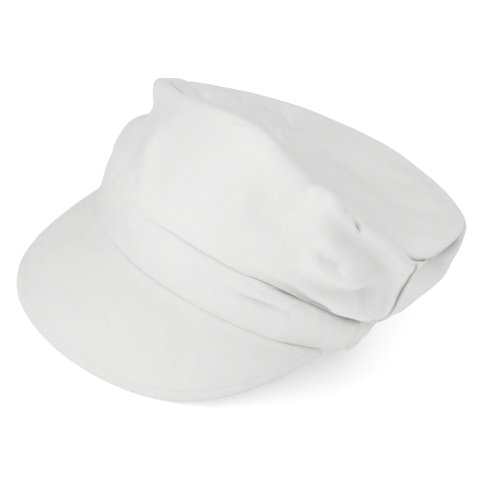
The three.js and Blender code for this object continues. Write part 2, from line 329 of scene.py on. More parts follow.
def section(column, angle):
    """A smooth curve round the head through one column of the sections."""
    rows = np.array(SECTIONS, float)
    values = rows[:, SECTION_COLUMNS.index(column)]
    knots = rows[:, 0] - rows[0, 0]
    gaps = np.diff(np.append(knots, 360))
    slopes = (np.roll(values, -1) - np.roll(values, 1)) / (gaps + np.roll(gaps, 1))
    offset = (angle - rows[0, 0]) % 360
    i = np.searchsorted(knots, offset, side="right") - 1
    n = (i + 1) % len(knots)
    t = (offset - knots[i]) / gaps[i]
    level = values[i] * (2 * t**3 - 3 * t**2 + 1) + values[n] * (3 * t**2 - 2 * t**3)
    return level + gaps[i] * (slopes[i] * (t**3 - 2 * t**2 + t) + slopes[n] * (t**3 - t**2))


def band_radius(angle):
    a = np.radians(angle)
    across = np.abs(np.sin(a)) / HEAD["half_width"]
    along = np.abs(np.cos(a)) / HEAD["half_length"]
    circle = (across ** HEAD["power"] + along ** HEAD["power"]) ** (-1 / HEAD["power"])
    past_seam = np.abs(turn(0, angle)) - BAND["seam_angle"]
    return circle - BAND["pull"] * smoothstep(past_seam, 0, BAND["pull_span"])


def bezier(a, b, c, d, t):
    s = 1 - t
    return a * s**3 + 3 * b * s**2 * t + 3 * c * s * t**2 + d * t**3


def dents(rows, angle, place):
    """Sum of a table's dents. A row has an angle, a place, the spans of both, and an amount."""
    total = 0
    for at_angle, at_place, angle_span, place_span, amount in rows:
        here = bell(turn(at_angle, angle), angle_span) * bell(place - at_place, place_span)
        total = total + amount * here
    return total


def wall(angle, rise):
    at_band = band_radius(angle) + BAND["thickness"] / 2 + CLOTH["seam_out"]
    at_rim = section("rim_radius", angle)
    out_at_band = at_band + section("sag_out", angle)
    out_at_rim = at_rim + section("roll_out", angle)
    foot = BAND["height"] + CLOTH["seam_lift"]
    rim = section("rim_height", angle)
    down_at_band = foot - section("sag_down", angle)
    down_at_rim = rim - section("roll_drop", angle)
    r = bezier(at_band, out_at_band, out_at_rim, at_rim, rise)
    z = bezier(foot, down_at_band, down_at_rim, rim, rise)
    free = np.minimum(1, WALL_FOLD_FADE * np.sin(np.pi * rise))
    return around(angle, r + dents(WALL_FOLDS, angle, rise) * free, z)


def top(angle, reach):
    """The rim's height carried inward, each wave round the rim dying away the faster, the shorter."""
    samples = np.arange(RIM_SAMPLES)
    heights = section("rim_height", samples)
    carried = 0
    at_rim = 0
    for n in range(HARMONICS + 1):
        share = (1 if n == 0 else 2) / len(samples)
        cosine = np.sum(heights * np.cos(np.radians(n * samples))) * share
        sine = np.sum(heights * np.sin(np.radians(n * samples))) * share
        wave = cosine * np.cos(np.radians(n * angle)) + sine * np.sin(np.radians(n * angle))
        carried = carried + wave * reach**n
        at_rim = at_rim + wave
    shortfall = section("rim_height", angle) - at_rim
    z = carried + shortfall * reach**HARMONICS - TOP_SAG * (1 - reach**2)
    z = z + dents(TOP_FOLDS, angle, reach) * np.minimum(1, TOP_FOLD_FADE * (1 - reach))
    return around(angle, reach * section("rim_radius", angle), z)


def peak_point(across, out):
    droop = np.radians(PEAK["droop_front"] + (PEAK["droop_side"] - PEAK["droop_front"]) * across**2)
    reach = PEAK["depth"] * np.sqrt(np.maximum(0, 1 - np.abs(across) ** PEAK["fullness"]))
    arch = PEAK["crown"] * np.sin(np.pi * out) * reach / PEAK["depth"]
    forward = reach * out * np.cos(droop) + arch * np.sin(droop)
    down = reach * out * np.sin(droop) - arch * np.cos(droop)
    angle = PEAK["half_angle"] * across
    below = PEAK["thickness"] / 2 * np.cos(droop) + PEAK["root_gap"]
    start = around(angle, band_radius(angle), -below)
    return start - np.stack([0 * forward, forward, down], axis=-1)


# ---- lean and place ----

_droop = math.radians(PEAK["droop_front"])
_tip = peak_point(np.array(0.0), np.array(1.0))
_tip = _tip + np.array([0, math.sin(_droop), -math.cos(_droop)]) * PEAK["thickness"] / 2
_heel = band_radius(np.array(180.0)) + BAND["thickness"] / 2
LEAN = math.atan2(-_tip[2], _heel - _tip[1])


def lean(points):
    x, y, z = points[..., 0], points[..., 1], points[..., 2]
    c, s = math.cos(LEAN), math.sin(LEAN)
    return np.stack([x, y * c + z * s, -y * s + z * c], axis=-1)


BAND_FACES = (BAND["thickness"] / 2, -BAND["thickness"] / 2)
BAND_CORNER_SAMPLES = 2001


def _band_corner():
    """Lowest corner of the band's front length, leaned back, before it is put in place."""
    rise = np.array([0.0, 1.0])[:, None]
    angle = np.linspace(-1, 1, BAND_CORNER_SAMPLES) * (BAND["seam_angle"] - BAND["seam_slant"] * rise)
    radius = band_radius(angle)
    faces = [around(angle, radius + side, BAND["height"] * rise) for side in BAND_FACES]
    return lean(np.stack(faces)).reshape(-1, 3).min(axis=0)


PLACE = np.array(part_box("band_front")[0]) * MM - _band_corner()
FLOOR_EASE = 0.5  # mm over which the cloth eases onto the floor
FLOOR_CLEAR = 6  # times that height, above which it is left alone


def to_row(points):
    """Leaned back, in place, clear of the floor, in metres."""
    p = lean(points) + PLACE
    z = p[..., 2]
    eased = FLOOR_EASE * np.logaddexp(0, z / FLOOR_EASE)
    p[..., 2] = np.where(z > FLOOR_EASE * FLOOR_CLEAR, z, eased)
    return p / MM


# ---- closed sheets of cloth ----


def grid_normals(mid, wrap=False):
    along = np.roll(mid, -1, axis=0) - np.roll(mid, 1, axis=0) if wrap else np.gradient(mid, axis=0)
    return unit(np.cross(along, np.gradient(mid, axis=1)))


def edge_round(distance, radius):
    """Half thickness as a share, falling to nothing in a round edge."""
    t = np.clip(1 - distance / np.maximum(radius, TINY), 0, 1)
    return np.sqrt(1 - t**2)


def add_object(name, data, material=None):
    made = bpy.data.objects.new(name, data)
    bpy.context.scene.collection.objects.link(made)
    if material:
        data.materials.append(material)
    return made


SHARP_ANGLE = 65


def sheet_mesh(name, outer, inner, uv, painted_shade_and_wear, whole):
    """Closed mesh from an outer and an inner grid that meet along their open edges.

    A whole grid goes right round, and its last row is all one point.
    """
    nu, nv = outer.shape[:2]
    free = np.ones((nu, nv), bool)
    free[:, 0] = False
    if not whole:
        free[:, -1] = free[0] = free[-1] = False
    outer_id = np.arange(nu * nv).reshape(nu, nv)
    inner_id = outer_id.copy()
    inner_id[free] = nu * nv + np.arange(free.sum())
    points = np.concatenate([outer.reshape(-1, 3), inner[free]])
    uvs = np.concatenate([uv.reshape(-1, 2), uv[free]])
    painted_shade_and_wear_values = np.concatenate([painted_shade_and_wear.reshape(-1), painted_shade_and_wear[free]])
    if whole:
        outer_id[:, -1] = outer_id[0, -1]
        inner_id[:, -1] = inner_id[0, -1]
    faces = []
    for ids, order in ((outer_id, [0, 1, 2, 3]), (inner_id, [0, 3, 2, 1])):
        closed = np.concatenate([ids, ids[:1]]) if whole else ids
        corners = [closed[:-1, :-1], closed[1:, :-1], closed[1:, 1:], closed[:-1, 1:]]
        faces.append(np.stack(corners, axis=-1).reshape(-1, 4)[:, order])
    faces = [list(dict.fromkeys(face)) for face in np.concatenate(faces).tolist()]
    mesh = bpy.data.meshes.new(name)
    mesh.from_pydata(points.tolist(), [], [face for face in faces if len(face) > 2])
    mesh.validate(clean_customdata=False)
    loops = np.empty(len(mesh.loops), int)
    mesh.loops.foreach_get("vertex_index", loops)
    layer = mesh.uv_layers.new(name="cloth")
    layer.data.foreach_set("uv", uvs[loops].astype(np.float32).ravel())
    # painted shade, partly seam soiling, kept on each point for the cloth material
    attribute = mesh.attributes.new("painted_shade_and_wear", "FLOAT", "POINT")
    attribute.data.foreach_set("value", painted_shade_and_wear_values.astype(np.float32))
    mesh.polygons.foreach_set("use_smooth", np.ones(len(mesh.polygons), bool))
    mesh.update()
    mesh.set_sharp_from_angle(angle=math.radians(SHARP_ANGLE))
    return mesh


def cloth_piece(node, slot, mid, normals, half, uv, painted_shade_and_wear, over=0, whole=False):
    """The piece that stands for a CAD node: its cloth's two faces, put in place.

    half is half of the thickness, and over is the least of it on the outer face.
    """
    outer = to_row(mid + normals * np.maximum(half, over)[..., None])
    inner = to_row(mid - normals * half[..., None])
    name = f"cloth_{node}"
    piece = add_object(name, sheet_mesh(name, outer, inner, uv, painted_shade_and_wear, whole), CLOTHS[slot])
    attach(piece, "root")
    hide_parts(node)
    return piece, outer, inner


# ---- cloth materials ----


class Graph:
    """A node tree, with short ways to add nodes to it."""

    def __init__(self, owner):
        owner.use_nodes = True
        self.nodes = owner.node_tree.nodes
        self.links = owner.node_tree.links

    def fill(self, node, inputs):
        """Sets a node's inputs to numbers or colours, or links other nodes' outputs to them."""
        for socket, value in dict(inputs).items():
            if isinstance(value, bpy.types.NodeSocket):
                self.links.new(value, node.inputs[socket])
            else:
                node.inputs[socket].default_value = value

    def add(self, kind, inputs=(), **settings):
        made = self.nodes.new(kind)
        for key, value in settings.items():
            setattr(made, key, value)
        self.fill(made, inputs)
        return made

    def math(self, operation, *values):
        return self.add("ShaderNodeMath", enumerate(values), operation=operation).outputs[0]

    def noise(self, vector, scale, detail=2.0, roughness=0.5):
        inputs = {"Vector": vector, "Scale": scale, "Detail": detail, "Roughness": roughness}
        return self.add("ShaderNodeTexNoise", inputs).outputs["Fac"]

    def bump(self, height, strength, distance, below=None):
        inputs = {"Height": height, "Strength": strength, "Distance": distance}
        if below:
            inputs["Normal"] = below
        return self.add("ShaderNodeBump", inputs).outputs["Normal"]


def cloth_material(name, colour, rough, sheen):
    """Plain-woven cotton: threads over and under, slubs, soft rumples, faint colour variation, and
    painted shade with some seam soiling, from each piece's attribute.
    """
    material = bpy.data.materials.new(name)
    graph = Graph(material)
    uv = graph.add("ShaderNodeUVMap", uv_map="cloth").outputs["UV"]
    place = graph.add("ShaderNodeTexCoord").outputs["Object"]
    # uneven threads: their lines wander a little
    drift = graph.math("MULTIPLY", graph.noise(uv, scale=90.0), LOOK["wander"])
    waves = []
    for across in graph.add("ShaderNodeSeparateXYZ", {0: uv}).outputs[:2]:
        phase = graph.math("MULTIPLY", graph.math("ADD", across, drift), 2 * math.pi / THREAD_PITCH)
        waves.append(graph.math("SINE", phase))
    weave = graph.math("MULTIPLY", *waves)
    slubs = []
    for scale in (LOOK["slub_scale"], LOOK["slub_scale"][::-1]):
        mapping = graph.add("ShaderNodeMapping", {"Vector": uv, "Scale": (*scale, 1)})
        slubs.append(graph.noise(mapping.outputs[0], scale=1.0))
    slub = graph.math("ADD", *slubs)
    rumple = graph.noise(place, scale=260.0, detail=4.0, roughness=0.55)
    normal = graph.bump(weave, strength=0.55, distance=0.00006)
    normal = graph.bump(slub, strength=0.3, distance=0.00003, below=normal)
    normal = graph.bump(rumple, strength=0.4, distance=0.00012, below=normal)

    # painted shade, partly seam soiling, read from the mesh, darkens the colour below
    painted_shade_and_wear = graph.add("ShaderNodeAttribute", attribute_name="painted_shade_and_wear").outputs["Fac"]
    blotch = graph.noise(place, scale=22.0, detail=3.0)
    shade = 1 - LOOK["blotch"] / 2 - LOOK["slub"]
    for pattern, effect in ((blotch, "blotch"), (slub, "slub"), (weave, "weave"), (painted_shade_and_wear, "painted_shade_and_wear")):
        shade = graph.math("MULTIPLY_ADD", pattern, LOOK[effect], shade)
    grey = graph.add("ShaderNodeCombineColor", enumerate([shade] * 3)).outputs[0]
    first, second, mixed = MIX_COLOURS
    inputs = {"Factor": 1.0, first: (*colour, 1), second: grey}
    tint = graph.add("ShaderNodeMix", inputs, data_type="RGBA", blend_type="MULTIPLY")
    roughness = graph.math("MULTIPLY_ADD", blotch, LOOK["rough"], rough - LOOK["rough"] / 2)
    roughness = graph.math("MULTIPLY_ADD", weave, LOOK["rough_weave"], roughness)
    graph.fill(graph.nodes["Principled BSDF"], {
        "Base Color": tint.outputs[mixed], "Roughness": roughness, "Normal": normal,
        "Sheen Weight": sheen, "Sheen Roughness": 0.55, "Specular IOR Level": 0.25,
    })
    return material


MIX_COLOURS = (6, 7, 2)  # a mix node's two colour inputs, and its colour output
THREAD_PITCH = 0.00052  # from one thread of the cloth to the next but one, m
# How far the threads wander, m, how fine the slubs are along and across a thread, and how much
# each pattern changes the colour or roughness. The painted shade, partly seam soiling, darkens the
# colour.
LOOK = {
    "wander": 1.2 * THREAD_PITCH, "slub_scale": (60, 900), "blotch": 0.035, "slub": 0.03,
    "weave": 0.012, "painted_shade_and_wear": -0.10, "rough": 0.12, "rough_weave": -0.04,
}
CLOTHS = {
    "crown_cloth": cloth_material("crown cloth", (0.78, 0.78, 0.777), rough=0.9, sheen=0.25),
    "band_cloth": cloth_material("band cloth", (0.78, 0.78, 0.777), rough=0.9, sheen=0.25),
    "peak_cloth": cloth_material("peak cloth", (0.775, 0.775, 0.772), rough=0.88, sheen=0.2),
}


def thread_material():
    """White sewing thread, with strands too fine to see one by one."""
    material = bpy.data.materials.new("sewing thread")
    graph = Graph(material)
    strands = graph.noise(graph.add("ShaderNodeTexCoord").outputs["Object"], scale=2400.0)
    roughness = graph.math("MULTIPLY_ADD", strands, 0.2, 0.5)
    normal = graph.bump(strands, strength=0.4, distance=0.00005)
    graph.fill(graph.nodes["Principled BSDF"], {
        "Base Color": (0.8, 0.8, 0.79, 1), "Roughness": roughness, "Normal": normal, "Sheen Weight": 0.15,
    })
    return material


THREAD = thread_material()

# ---- the crown ----

HALF_STEPS = 300  # columns from one side seam to the other
SIDE = 90  # angle of the side seams
WALL_STEPS = 92
TOP_STEPS = 76
CROWN_HALF = 0.6  # half of the crown cloth's thickness, mm
RIM_ROUND = {"spread": 3.2, "reach": 8.0, "least": 0.05, "hold": 1.6}
# The steps in a fold's line, how round the bottom of a sharp one is, mm, then amounts in fold
# widths, and in shares of its length.
FOLD = {
    "steps": 12, "round": 0.7, "reach": 3.2, "blend": 0.35, "crisp": 0.6, "dark": 0.5,
    "early": 0.05, "taper": 0.35,
}
# How the crown's foot comes in and down to the band, mm.
FOOT = {"rise": 3.0, "in": 0.4, "in_left": 1.6, "down": 0.9}
# How near a seam the cloth is held still, mm, and how free it is right at the rim.
HOLD = {"reach": 7, "side": 4, "rim_reach": 6, "rim_free": 0.35}
# The front wall lies smoother than the rest.
CALM = {"share": 0.6, "angle": 8, "span": 34}
# Turnings pressed under the cloth beside each seam, and the pull of the stitches, mm.
TURNING = {"width": 7.5, "ease": 2.0, "side": 0.15, "rim": 0.10}
PUCKER = {"seam": 5.5, "foot": 7.0, "clear": 1.2}
# How deep each seam's groove is at least, and how much more it may be: hardly any along the rolled
# front rim and the right front, most under the overhang and at the left side.
GROOVE = {
    "rim": [0.05, 0.5], "rim_from": 12, "rim_ease": [76, 84], "rim_width": 0.8,
    "band": [0.10, 0.1, 0.6], "side": 0.8, "side_push": [1.0, 1.8], "side_width": 0.6,
    "left_span": 60,
}
LIP = {"out": 1.6, "out_span": 2.0, "in": 2.8, "below": 5, "in_span": 3.0}
# The front panel's edge lies a little over the back panel's.
OVERLAP = {"front": 0.6, "back": -0.24, "from": 1.8, "span": 1.3}
# Painted shade and some seam soiling, amounts and spans in mm: along seams, in the cleft, along the side
# seams, in sharp creases and under the back lip.
CROWN_PAINTED_SHADE_AND_WEAR = {
    "seam": [0.8, 1.3], "cleft": [3.5, 7.0, 3.0], "side": [2.0, 12.0, 0.7], "crease": 2.0,
    "lip": [7.0, 111, 8, 5],
}
AROUND = 95  # mm from the head's middle, for lengths round the cloth


def shell_grid():
    """Middle of the crown's cloth: columns round the head, rows from band to rim to middle."""
    half = graded(HALF_STEPS, even=0.25)[:-1] * 2 * SIDE
    angles = np.concatenate([half - SIDE, half + SIDE])
    rise = graded(WALL_STEPS, even=0.22)
    reach = 1 - graded(TOP_STEPS, even=0.28, both=False)
    reach[-1] = 0
    a = angles[:, None]
    grid = np.concatenate([wall(a, rise[None]), top(a, reach[None, 1:])], axis=1)
    levels = np.concatenate([rise, 2 - reach[1:]])
    return angles, levels, grid


def arc_lengths(grid):
    steps = np.linalg.norm(np.diff(grid, axis=1), axis=-1)
    return np.concatenate([np.zeros((len(grid), 1)), np.cumsum(steps, axis=1)], axis=1)


def soften_rim(grid, arc):
    """Rounds the profile over the rim without moving the rim itself."""
    from_rim = arc - arc[:, WALL_STEPS][:, None]
    sigma = RIM_ROUND["spread"] * bell(from_rim, RIM_ROUND["reach"]) + RIM_ROUND["least"]
    width = np.gradient(arc, axis=1)
    result = np.empty_like(grid)
    for i in range(len(grid)):
        apart = (arc[i][None] - arc[i][:, None]) / sigma[i][:, None]
        weight = np.exp(-0.5 * apart**2) * width[i][None]
        result[i] = (weight @ grid[i]) / weight.sum(axis=1, keepdims=True)
    lost = grid[:, WALL_STEPS] - result[:, WALL_STEPS]
    return result + lost[:, None] * bell(from_rim, RIM_ROUND["reach"] * RIM_ROUND["hold"])[..., None]


def along_line(line, points, blend):
    """How near points are to a line, and what share of it they lie at, blended at its bends."""
    distances = []
    places = []
    for k in range(len(line) - 1):
        step = line[k + 1] - line[k]
        t = np.clip(((points - line[k]) @ step) / max(step @ step, TINY), 0, 1)
        distances.append(np.linalg.norm(points - line[k] - t[:, None] * step, axis=-1))
        places.append((k + t) / (len(line) - 1))
    near = np.min(distances, axis=0)
    weight = np.exp(-(distances - near) / blend)
    return near, np.average(places, axis=0, weights=weight)


def fold_field(angles, levels, grid):
    """Sum of the folds at each place of the crown, and how deep in a sharp fold it lies, which sets the
    shade painted into sharp folds.
    """
    total = np.zeros(grid.shape[:2])
    shadow = np.zeros(grid.shape[:2])
    share = np.linspace(0, 1, FOLD["steps"] + 1)
    for angle_from, level_from, angle_to, level_to, width, push, *sharp in FOLDS:
        a = angle_from + turn(angle_from, angle_to) * share
        columns = [int(np.argmin(np.abs(turn(angles, value)))) for value in a]
        level = level_from + (level_to - level_from) * share
        rows = np.searchsorted(levels, level).clip(0, len(levels) - 1)
        line = grid[columns, rows]
        middle = line.mean(axis=0)
        reach = np.linalg.norm(line - middle, axis=1).max() + FOLD["reach"] * width
        close = np.linalg.norm(grid - middle, axis=-1) < reach
        near, where = along_line(line, grid[close], FOLD["blend"] * width)
        taper = smoothstep(where, -FOLD["early"], FOLD["taper"])
        taper *= smoothstep(1 - where, -FOLD["early"], FOLD["taper"])
        if sharp:
            rounded = np.hypot(near, FOLD["round"]) - FOLD["round"]
            profile = np.exp(-rounded / (FOLD["crisp"] * width))
            shadow[close] += abs(push) * bell(near, FOLD["dark"] * width) * taper
        else:
            profile = bell(near, width)
        total[close] += push * profile * taper
    return total, shadow


def crown_foot(grid, arc, a, on_wall):
    """Brings the lower edge in to the band's top, or down over it where the two lie flush."""
    inward = -unit(grid * [1, 1, 0])
    up = np.array([0, 0, 1])
    even = flush(a)
    tuck = (1 - smoothstep(arc, 0, FOOT["rise"])) * on_wall
    drawn = CLEFT["depth"] * bell(turn(CLEFT["angle"], a), CLEFT["span"])
    inset = (FOOT["in"] + FOOT["in_left"] * stretch("overhang", a)) * (1 - even) + drawn
    drop = FOOT["down"] * (1 - even)
    grid = grid + (inward * inset[..., None] - up * drop[..., None]) * tuck[..., None]
    # round the right front it runs on down over the band and sinks into it at a slight angle
    sink = (1 - smoothstep(arc, 0, FLUSH["lap"] * 2)) * on_wall * even
    inset = FLUSH["sink"] * sink**2 - FLUSH["slant"] * sink
    return grid + inward * inset[..., None] - up * (FLUSH["lap"] * sink)[..., None]


def crown():
    angles, levels, grid = shell_grid()
    from_band = arc_lengths(grid)
    grid = soften_rim(grid, from_band)
    a = angles[:, None]
    on_wall = (levels <= 1)[None]
    grid = crown_foot(grid, from_band, a, on_wall)
    normals = grid_normals(grid, wrap=True)
    from_rim = np.abs(from_band - from_band[:, WALL_STEPS][:, None])
    side_angle = np.minimum(np.abs(turn(SIDE, a)), np.abs(turn(-SIDE, a)))
    radius = np.linalg.norm(grid[..., :2], axis=-1)
    from_side = np.where(on_wall, np.radians(side_angle) * radius, FAR)
    seam = np.min([from_band, from_rim, from_side], axis=0)
    even = flush(a)
    left = bell(turn(SIDE, a), GROOVE["left_span"])

    folds, shadow = fold_field(angles, levels, grid)
    push = folds * smoothstep(np.minimum(from_band, from_side + HOLD["side"]), 0, HOLD["reach"])
    free = smoothstep(np.minimum(from_band, from_side), 0, HOLD["reach"])
    free = free * (HOLD["rim_free"] + (1 - HOLD["rim_free"]) * smoothstep(from_rim, 0, HOLD["rim_reach"]))
    calm = bell(turn(CALM["angle"], a), CALM["span"])
    calm = calm * (smoothstep(levels, 0.1, 0.4) * (1 - smoothstep(levels, 0.85, 1.05)))[None]
    push += uneven("crown", grid) * free * (1 - CALM["share"] * calm)
    push += uneven("top", grid) * smoothstep(levels - 1, 0.02, 0.2)[None]
    turning = TURNING["side"] * smoothstep(TURNING["width"] - from_side, 0, TURNING["ease"])
    turning = turning + TURNING["rim"] * smoothstep(TURNING["width"] - from_rim, 0, TURNING["ease"])
    pucker = uneven("crown_seams", grid) * bell(np.minimum(from_rim, from_side), PUCKER["seam"])
    pucker = pucker + uneven("crown_foot", grid) * bell(from_band, PUCKER["foot"]) * (1 - even)
    push += turning + pucker * smoothstep(seam, 0, PUCKER["clear"])
    lip = stretch("lip", a) * on_wall
    push += lip * LIP["out"] * bell(from_rim, LIP["out_span"])
    push -= lip * LIP["in"] * bell(from_rim - LIP["below"], LIP["in_span"])

    least, more = GROOVE["rim"]
    rim_groove = least + more * smoothstep(np.abs(turn(GROOVE["rim_from"], a)), *GROOVE["rim_ease"])
    least, more, overhang = GROOVE["band"]
    band_groove = least + (more + overhang * stretch("overhang", a)) * (1 - even)
    least, more = GROOVE["side_push"]
    push -= rim_groove * bell(from_rim, GROOVE["rim_width"])
    push -= (least + more * left) * np.exp(-from_side / GROOVE["side_width"])
    over = np.where(np.abs(turn(0, a)) < SIDE, OVERLAP["front"], OVERLAP["back"])
    push += over * bell(from_side - OVERLAP["from"], OVERLAP["span"]) * on_wall
    nearest = np.argmin([from_band, from_rim, from_side], axis=0)
    groove = np.choose(nearest, [band_groove, rim_groove, GROOVE["side"]])

    # painted shade, partly seam soiling: how far each place's colour is darkened along seams, in sharp
    # creases, in the cleft, along the side seams and under the back lip
    amount, span = CROWN_PAINTED_SHADE_AND_WEAR["seam"]
    painted_shade_and_wear = amount * bell(seam, span) * np.minimum(1, groove) + CROWN_PAINTED_SHADE_AND_WEAR["crease"] * shadow
    amount, above, ease = CROWN_PAINTED_SHADE_AND_WEAR["cleft"]
    cleft_shade = bell(turn(CLEFT["angle"], a), CLEFT["span"]) * smoothstep(above - from_band, 0, ease)
    painted_shade_and_wear += amount * cleft_shade * on_wall
    least, more, span = CROWN_PAINTED_SHADE_AND_WEAR["side"]
    painted_shade_and_wear += (least + more * left) * np.exp(-from_side / span)
    amount, angle, angle_span, span = CROWN_PAINTED_SHADE_AND_WEAR["lip"]
    lip_shadow = bell(turn(angle, a), angle_span) * bell(from_rim - LIP["below"], span)
    painted_shade_and_wear += amount * lip * lip_shadow

    mid = grid + normals * push[..., None]
    mid[:, -1] = mid[:, -1].mean(axis=0)
    normals = grid_normals(mid, wrap=True)
    normals[:, -1] = (0, 0, 1)
    return {
        "levels": levels, "mid": mid, "normals": normals, "seam": seam, "from_rim": from_rim,
        "groove": groove, "painted_shade_and_wear": painted_shade_and_wear, "uv_top": grid[..., :2] / MM,
        "uv": np.stack([np.radians(a) * AROUND + 0 * from_band, from_band], axis=-1) / MM,
    }


HIDDEN_GROOVE = [0.1, 0.4]  # a seam's groove is hidden at the first, and open at the second


def crown_piece(node, shell, columns, rows, edge="seam", uv="uv", whole=False):
    part = np.ix_(columns, rows)
    half = CROWN_HALF * edge_round(shell[edge], shell["groove"])
    # where a seam hardly shows, the cloth runs on over it
    over = CROWN_HALF * (1 - smoothstep(shell["groove"], *HIDDEN_GROOVE))
    fields = (shell["mid"], shell["normals"], half, shell[uv], shell["painted_shade_and_wear"], over)
    return cloth_piece(node, "crown_cloth", *(field[part] for field in fields), whole)[0]


def make_crown():
    shell = crown()
    count = 2 * HALF_STEPS
    wall_rows = np.arange(WALL_STEPS + 1)
    top_rows = np.arange(WALL_STEPS, len(shell["levels"]))
    back = np.arange(HALF_STEPS, count + 1) % count
    front_wall = crown_piece("crown_front", shell, np.arange(HALF_STEPS + 1), wall_rows)
    back_wall = crown_piece("crown_back", shell, back, wall_rows)
    panel = crown_piece("crown_top", shell, np.arange(count), top_rows, "from_rim", "uv_top", whole=True)


# ---- the band ----

BAND_STEPS = 420
BAND_RISE_STEPS = 36
BAND_HALF = 1.0  # half of the band cloth's thickness, mm
BAND_AROUND = 92  # mm from the head's middle, for lengths round the band
BAND_ROUND = 0.8  # how round the band's edges are, mm
CASING_ROWS = {"lower": 0.14, "upper": 0.86}
# Creases of the front length: angle and span, rise, mm above it, how fast it climbs, span, push.
BAND_CREASES = [
    [42, 9, 0.60, 0, 0.002, 2.0, -3.0],
    [38, 13, 0.60, 4.0, 0.002, 3.0, 1.2],
    [30, 12, 0.66, 0, 0, 4.0, -1.6],
    [-2, 7, 0.60, 0, 0, 3.5, -0.9],
]
BAND_CREST = {"angle": -12.5, "span": 4, "push": 0.9}
# The top of the cleft's shadow: its rise at the left front, and how much lower it is at the side.
BROW = {"rise": 0.91, "lower": 0.19, "from": 55, "to": 84}
GATHERS = {
    "degrees": 8.2, "push": 1.1, "wobble": [0.8, 0.45, 0.8, 11], "depth": [0.55, 0.5, 0.7, 3.1],
    "ends": [8, 36], "middle": 0.75,
}
CASING = {"push": -0.5, "span": 1.1, "ends": [2, 8]}
BAND_PUSH = {"bulge": 0.8, "turned_out": 1.0, "turned_in": -1.6, "ends": -0.9}
# Painted shade, partly seam soiling: along the band's edges, at its ends, and in the cleft under the left
# lobe.
BAND_PAINTED_SHADE_AND_WEAR = {"edge": 0.6, "edge_span": 1.3, "end": 1.2, "end_span": 0.7, "cleft": 6.0}


def gathers(angle, rise, from_end):
    """Pleats of the back length, fuller at its edges and drawn in along the casing's stitches."""
    along = (angle - 180) / GATHERS["degrees"]
    none = 0 * along
    amount, finer, finer_up, moved = GATHERS["wobble"]
    wobble = amount * noise(np.stack([along * finer, rise * finer_up + none, none], axis=-1) + moved)
    even, vary, finer, moved = GATHERS["depth"]
    depth = even + vary * noise(np.stack([along * finer, none, none + moved], axis=-1))
    push = GATHERS["push"] * np.cos(2 * np.pi * (along + wobble)) * depth
    push *= smoothstep(from_end, *GATHERS["ends"])
    push *= GATHERS["middle"] + (1 - GATHERS["middle"]) * np.abs(2 * rise - 1)
    for row in CASING_ROWS.values():
        drawn = bell((rise - row) * BAND["height"], CASING["span"])
        push += CASING["push"] * drawn * smoothstep(from_end, *CASING["ends"])
    return push


def front_creases(angle, rise, cleft, brow):
    """Creases of the front length, its crest, and the cleft under the left lobe."""
    push = -CLEFT["depth"] * cleft * smoothstep(rise, brow - 0.03, brow + 0.05)
    for at, angle_span, at_rise, above, climb, span, amount in BAND_CREASES:
        level = (rise - at_rise - climb * (angle - 44)) * BAND["height"] - above
        push += amount * bell(turn(at, angle), angle_span) * bell(level, span)
    crest = np.exp(-np.abs(turn(BAND_CREST["angle"], angle)) / BAND_CREST["span"])
    return push + BAND_CREST["push"] * crest * smoothstep(rise, 0.2, 0.8)


